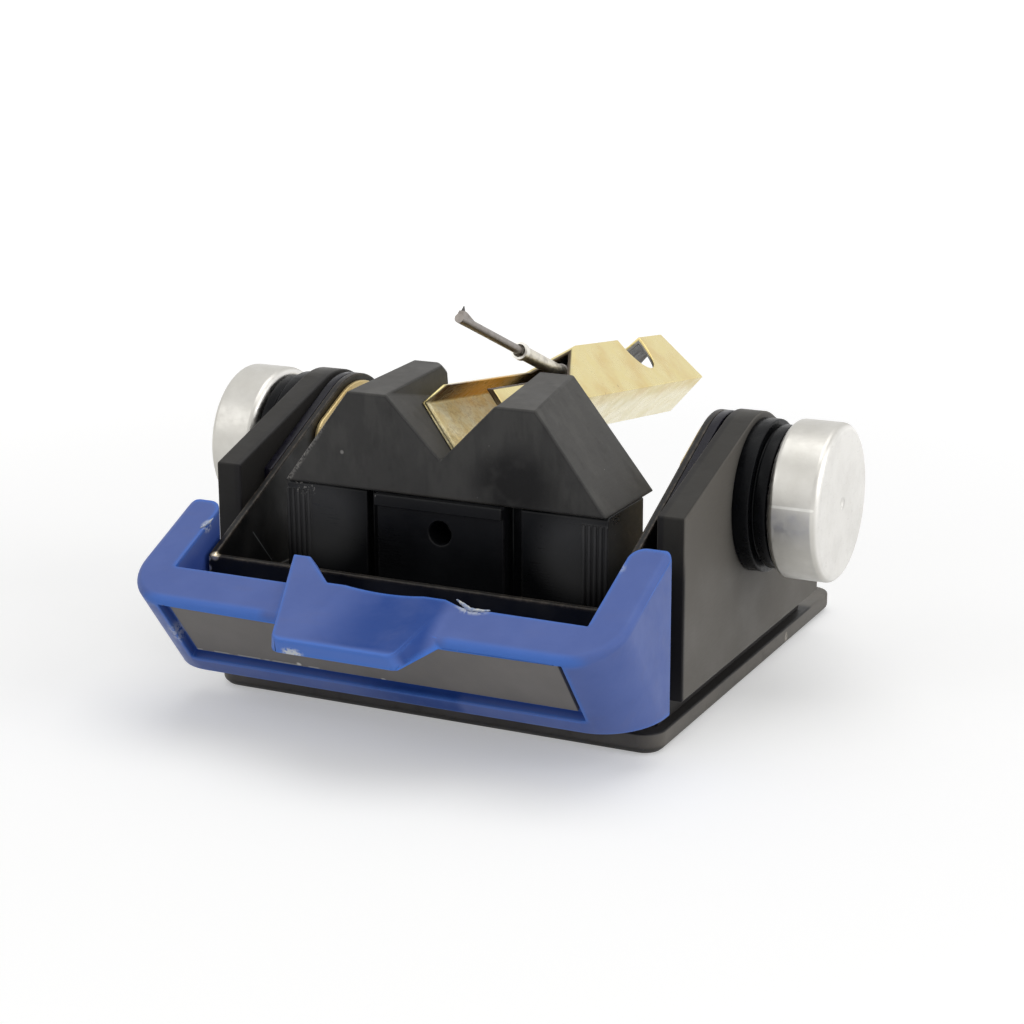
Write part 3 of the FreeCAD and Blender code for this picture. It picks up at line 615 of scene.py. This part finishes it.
def turned_aluminium():
    """Satin turned aluminium: rings about the pivot line, a duller side, soft scuffs and a rim painted darker
    as shade, dimming its highlight.
    """
    face = (0.80, 0.785, 0.75)
    side = (0.55, 0.535, 0.495)
    look = Look("knob_aluminium", face, 0.34, 1.0)
    offset = look.math_vector("SUBTRACT", look.place, PIVOT)
    radius = look.math_vector("LENGTH", look.math_vector("MULTIPLY", offset, (0, 1, 1)))
    rings = look.math("SINE", look.times(radius, 2 * math.pi / RING_PITCH))
    across = look.math("SINE", look.times(look.along(PIVOT, (1, 0, 0)), 2 * math.pi / SIDE_PITCH))
    wander = look.noise(2.5, 4, 0.6)
    tool = look.times(look.math("ADD", rings, across), wander)
    on_side = look.span(radius, *KNOB_SIDE_RADIUS)
    tone = look.mix(on_side, face, side)
    tone = look.mix(look.times(look.span(look.noise(0.8, 4), 0.35, 0.75), 0.5), tone, (0.66, 0.645, 0.61))
    scuff = look.span(look.noise(5.0, 4, 0.7, (1, 0.5, 2)), 0.58, 0.72)
    tone = look.mix(look.times(scuff, 0.35), tone, (0.52, 0.50, 0.47))
    tone = look.mix(look.times(look.stroke(*KNOB_LINE), on_side, 0.7), tone, (0.84, 0.83, 0.78))
    # Painted shade on the rim's chamfer, dimming its highlight
    look.color(look.mix(look.times(look.edges(0.2), 0.8), tone, (0.46, 0.45, 0.44)))
    look.roughness(look.span(wander, 0.3, 0.75, 0.30, 0.46))
    look.bump((tool, 0.0007), (look.noise(3.0, 3), 0.004))
    return look.material


def dull_metal(name, color, roughness, lines):
    """Plain drawn or ground metal with fine lines and a little grime."""
    look = Look(name, color, roughness, 1.0)
    grime = look.span(look.noise(2.6, 4, 0.6), 0.42, 0.72)
    look.color(look.mix(grime, color, [c * 0.55 for c in color]))
    look.roughness(look.span(look.noise(4.0, 3), 0.3, 0.7, roughness - 0.08, roughness + 0.1))
    look.bump((look.noise(18, 3, 0.6, lines), 0.0025))
    return look.material


# The sleeve's front end and its bead, ahead of the hinge in millimetres
SLEEVE_END = 7.05
BEAD_START = 6.75


def cantilever_metal():
    """A thin dull tube in a paler sleeve with a bright bead at its mouth."""
    color = (0.27, 0.245, 0.225)
    look = Look("cantilever_metal", color, 0.36, 1.0)
    ahead = look.along(HINGE, CANTILEVER_AHEAD)
    sleeve = look.span(ahead, SLEEVE_END + 0.05, SLEEVE_END + 0.01)
    bead = look.times(sleeve, look.span(ahead, BEAD_START - 0.03, BEAD_START + 0.01))
    grime = look.span(look.noise(2.6, 4, 0.6), 0.42, 0.72)
    tone = look.mix(sleeve, color, (0.70, 0.66, 0.57))
    tone = look.mix(look.times(grime, 0.5), tone, (0.17, 0.15, 0.135))
    look.color(look.mix(look.times(bead, 0.8), tone, (0.82, 0.80, 0.75)))
    look.roughness(look.span(look.noise(4.0, 3), 0.3, 0.7, 0.28, 0.46))
    look.bump((look.noise(18, 3, 0.6, (2, 0.3, 0.6)), 0.0025))
    return look.material


def rubber():
    color = (0.36, 0.335, 0.32)
    look = Look("rubber", color, 0.45, specular=0.4)
    tone = look.mix(look.span(look.noise(3, 4), 0.35, 0.75), color, (0.46, 0.43, 0.41))
    # Painted shade where the ring sits deep in the tube's mouth
    look.color(look.mix(look.times(look.hollow_shade(0.5, 0.5, 0.1), 0.35), tone, (0.03, 0.026, 0.024)))
    look.roughness(look.span(look.noise(7, 3), 0.3, 0.7, 0.38, 0.6))
    look.bump((look.noise(12, 3), 0.006))
    return look.material


def diamond_tip():
    color = (0.030, 0.028, 0.027)
    look = Look("tip", color, 0.18)
    look.color(look.mix(look.span(look.noise(9, 3), 0.45, 0.7), color, (0.12, 0.11, 0.10)))
    look.roughness(look.span(look.noise(11, 2), 0.3, 0.7, 0.12, 0.3))
    look.bump((look.noise(20, 2), 0.002))
    return look.material


def make_looks():
    """One material for each slot of the record."""
    return {
        "black_plate": base_plastic(),
        "black_frame": frame_plastic(),
        "blue_plastic": blue_moulding(),
        "label_grey": bare_label(),
        "collar_black": satin_black("collar_black", (0.0022, 0.0024, 0.0030), 0.10, (0.010, 0.010, 0.012)),
        "tray_sheet": folded_tray(),
        "pivot_plate_black": satin_black("pivot_plate_black", (0.005, 0.0045, 0.009), 0.18,
                                         (0.035, 0.032, 0.045)),
        "brass": brass("brass", (0.70, 0.55, 0.28), (0.56, 0.40, 0.17), 0.5).material,
        "steel": dull_metal("steel", (0.56, 0.55, 0.53), 0.32, (0.3, 2, 2)),
        "knob_aluminium": turned_aluminium(),
        "holder_black": holder_plastic(),
        "grip_black": grip_plastic(),
        "shank_brass": shank_brass(),
        "rubber": rubber(),
        "cantilever_metal": cantilever_metal(),
        "tip": diamond_tip(),
        "magnet": dull_metal("magnet", (0.20, 0.20, 0.20), 0.5, (1, 1, 1)),
    }


def add_piece(name, mesh):
    piece = bpy.data.objects.new(name, mesh)
    bpy.context.scene.collection.objects.link(piece)
    return piece


def softened(node, edge):
    """A copy of a CAD node with its hard edges rounded, which stands for that node."""
    work = bmesh.new()
    work.from_mesh(frame["nodes"][node].data)
    bmesh.ops.remove_doubles(work, verts=work.verts, dist=WELD)
    bmesh.ops.dissolve_limit(work, angle_limit=FLAT_ANGLE, verts=work.verts, edges=work.edges)
    if node in WORN_CORNERS:
        place, reach = WORN_CORNERS[node]
        corner = [v for v in work.verts if (v.co / MM - Vector(place)).length < CORNER_SEARCH]
        bmesh.ops.bevel(work, geom=corner, offset=reach * MM, offset_type="OFFSET", segments=1,
                        profile=ROUND_PROFILE, affect="VERTICES", clamp_overlap=True)
    hard = [e for e in work.edges if e.is_manifold and e.calc_face_angle() > SHARP_ANGLE]
    bmesh.ops.bevel(work, geom=hard, offset=edge * MM, offset_type="OFFSET", segments=SOFT_SEGMENTS,
                    profile=ROUND_PROFILE, affect="EDGES", clamp_overlap=node not in FULL_ROUNDING)
    bmesh.ops.remove_doubles(work, verts=work.verts, dist=WELD)
    bmesh.ops.dissolve_degenerate(work, edges=work.edges, dist=WELD)
    mesh = bpy.data.meshes.new(node + "_soft")
    work.to_mesh(mesh)
    work.free()
    for face in mesh.polygons:
        face.use_smooth = True
    mesh.set_sharp_from_angle(angle=CREASE_ANGLE)
    piece = add_piece(node + "_soft", mesh)
    normals = piece.modifiers.new("face_normals", "WEIGHTED_NORMAL")
    normals.keep_sharp = True
    return piece


def body_of(node):
    return next(body for body, members in frame["record"]["behaviour"]["bodies"].items() if node in members)


def dress_nodes(looks):
    slots = {row["node"]: row["material_slot"] for row in frame["record"]["subparts"]}
    for node, slot in slots.items():
        piece = frame["nodes"][node]
        if node in SOFT_EDGES:
            piece = softened(node, SOFT_EDGES[node])
            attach(piece, body_of(node))
            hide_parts(node)
        piece.data.materials.clear()
        piece.data.materials.append(looks[slot])


# Threads of torn flash on the blue moulding: points in millimetres and thickness
FLASH_THREADS = {
    "torn_flash_right": (((3.42, -14.50, 6.66), (3.62, -14.62, 6.62), (3.90, -14.78, 6.56),
                          (4.22, -14.93, 6.50), (4.60, -14.92, 6.50), (5.00, -14.82, 6.53)), 0.085),
    "torn_flash_left": (((-9.10, -12.72, 7.48), (-8.97, -12.56, 7.54), (-8.90, -12.40, 7.62),
                         (-8.87, -12.22, 7.70), (-8.86, -12.06, 7.76)), 0.05),
}
THREAD_SIDES = 7
THREAD_STEPS = 5
# Share of the thickness left at a thread's ends, and the range of its lumps
THREAD_ENDS = 0.25
THREAD_LUMPS = (0.6, 1.35)
FLASH_SEED = 7


def flash_thread(name, points, thickness, draw):
    """A lumpy tapering thread along a few points."""
    work = bmesh.new()
    knots = [Vector(p) for p in points]
    places = []
    for a, b in zip(knots, knots[1:]):
        places += [a.lerp(b, i / THREAD_STEPS) for i in range(THREAD_STEPS)]
    places.append(knots[-1])
    rings = []
    for i, place in enumerate(places):
        run = (places[min(i + 1, len(places) - 1)] - places[max(i - 1, 0)]).normalized()
        side = run.cross(Vector((0, 0, 1))).normalized()
        lift = side.cross(run)
        taper = THREAD_ENDS + (1 - THREAD_ENDS) * math.sin(math.pi * (i + 0.5) / len(places))
        ring = []
        for j in range(THREAD_SIDES):
            turn = 2 * math.pi * j / THREAD_SIDES
            reach = thickness * taper * draw.uniform(*THREAD_LUMPS)
            outward = side * math.cos(turn) + lift * math.sin(turn)
            ring.append(work.verts.new((place + outward * reach) * MM))
        rings.append(ring)
    for low, high in zip(rings, rings[1:]):
        for j in range(THREAD_SIDES):
            k = (j + 1) % THREAD_SIDES
            work.faces.new((low[j], low[k], high[k], high[j]))
    work.faces.new(list(reversed(rings[0])))
    work.faces.new(rings[-1])
    bmesh.ops.recalc_face_normals(work, faces=work.faces)
    mesh = bpy.data.meshes.new(name)
    work.to_mesh(mesh)
    work.free()
    for face in mesh.polygons:
        face.use_smooth = True
    piece = add_piece(name, mesh)
    smooth = piece.modifiers.new("smooth", "SUBSURF")
    smooth.levels = 1
    smooth.render_levels = 1
    return piece


def make_flash():
    draw = random.Random(FLASH_SEED)
    look = torn_flash()
    for name, (points, thickness) in FLASH_THREADS.items():
        piece = flash_thread(name, points, thickness, draw)
        piece.data.materials.append(look)
        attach(piece, body_of("front_handle"))


def seen_directly(tree, path):
    """1 for camera, glossy and transmitted rays, 0 for the rest."""
    direct = path.outputs["Is Camera Ray"]
    for ray in ("Is Glossy Ray", "Is Transmission Ray"):
        either = tree.nodes.new("ShaderNodeMath")
        either.operation = "MAXIMUM"
        tree.links.new(direct, either.inputs[0])
        tree.links.new(path.outputs[ray], either.inputs[1])
        direct = either.outputs[0]
    return direct


# Floor: half its width in metres, how strongly it shows white near the part and further out, and its greys
FLOOR_HALF = 1.5
FLOOR_NEAR_MM = 26.0
FLOOR_FAR_MM = 170.0
FLOOR_NEAR_WHITE = 0.34
FLOOR_FAR_WHITE = 0.80
FLOOR_GREY = (0.80, 0.80, 0.80)
FLOOR_CLOUD = (0.82, 0.82, 0.815)


def floor_look():
    """Pale floor: it takes the shadow, and shows white to the camera and to shiny pieces."""
    look = Look("floor", FLOOR_GREY, 0.9, specular=0.0)
    look.color(look.mix(look.span(look.noise(0.01, 2), 0.3, 0.7), FLOOR_GREY, FLOOR_CLOUD))
    away = look.math_vector("LENGTH", look.place)
    white = look.span(away, FLOOR_NEAR_MM, FLOOR_FAR_MM, FLOOR_NEAR_WHITE, FLOOR_FAR_WHITE)
    path = look.add("ShaderNodeLightPath")
    look.feed(look.shader.inputs["Emission Strength"], look.times(white, seen_directly(look.tree, path)))
    look.shader.inputs["Emission Color"].default_value = (1, 1, 1, 1)
    return look.material


def make_stage():
    corners = [(-1, -1), (1, -1), (1, 1), (-1, 1)]
    mesh = bpy.data.meshes.new("floor")
    mesh.from_pydata([(x * FLOOR_HALF, y * FLOOR_HALF, 0) for x, y in corners], [], [(0, 1, 2, 3)])
    floor = add_piece("floor", mesh)
    mesh.materials.append(floor_look())


# The room's own light, and how white it shows directly
ROOM_LIGHT = 0.42
ROOM_WHITE = 1.0


def make_world():
    world = bpy.data.worlds.new("studio")
    world.use_nodes = True
    bpy.context.scene.world = world
    tree = world.node_tree
    background = tree.nodes["Background"]
    background.inputs["Color"].default_value = (1, 1, 1, 1)
    path = tree.nodes.new("ShaderNodeLightPath")
    strength = tree.nodes.new("ShaderNodeMapRange")
    tree.links.new(seen_directly(tree, path), strength.inputs["Value"])
    strength.inputs["To Min"].default_value = ROOM_LIGHT
    strength.inputs["To Max"].default_value = ROOM_WHITE
    tree.links.new(strength.outputs["Result"], background.inputs["Strength"])


# Soft boxes: place and aim in metres, width in metres, power in watts
SOFT_BOXES = {
    "top_box": ((0.05, 0.02, 0.42), (0, 0, 0.006), 0.36, 0.55),
    "right_box": ((0.38, -0.02, 0.20), (0, 0, 0.006), 0.26, 0.42),
    "left_box": ((-0.26, -0.28, 0.24), (0, 0, 0.006), 0.24, 0.14),
}


def aim(obj, place, target, roll=0.0):
    away = Vector(place) - Vector(target)
    turn = away.to_track_quat("Z", "Y").to_matrix().to_4x4()
    obj.matrix_world = Matrix.Translation(place) @ turn @ Matrix.Rotation(roll, 4, "Z")


def make_lights():
    for name, (place, target, width, power) in SOFT_BOXES.items():
        data = bpy.data.lights.new(name, "AREA")
        data.shape = "SQUARE"
        data.size = width
        data.energy = power
        lamp = add_piece(name, data)
        aim(lamp, place, target)


def make_camera():
    data = bpy.data.cameras.new("photo_camera")
    data.lens = CAMERA_LENS
    data.sensor_fit = "HORIZONTAL"
    data.sensor_width = SENSOR_WIDTH
    data.clip_start = CLIP_NEAR
    data.clip_end = CLIP_FAR
    camera = add_piece("photo_camera", data)
    aim(camera, [c * MM for c in CAMERA_PLACE], [c * MM for c in CAMERA_TARGET], CAMERA_ROLL)
    bpy.context.scene.camera = camera


dress_nodes(make_looks())
make_flash()
make_stage()
make_world()
make_lights()
make_camera()
bpy.context.scene.view_settings.view_transform = "Standard"
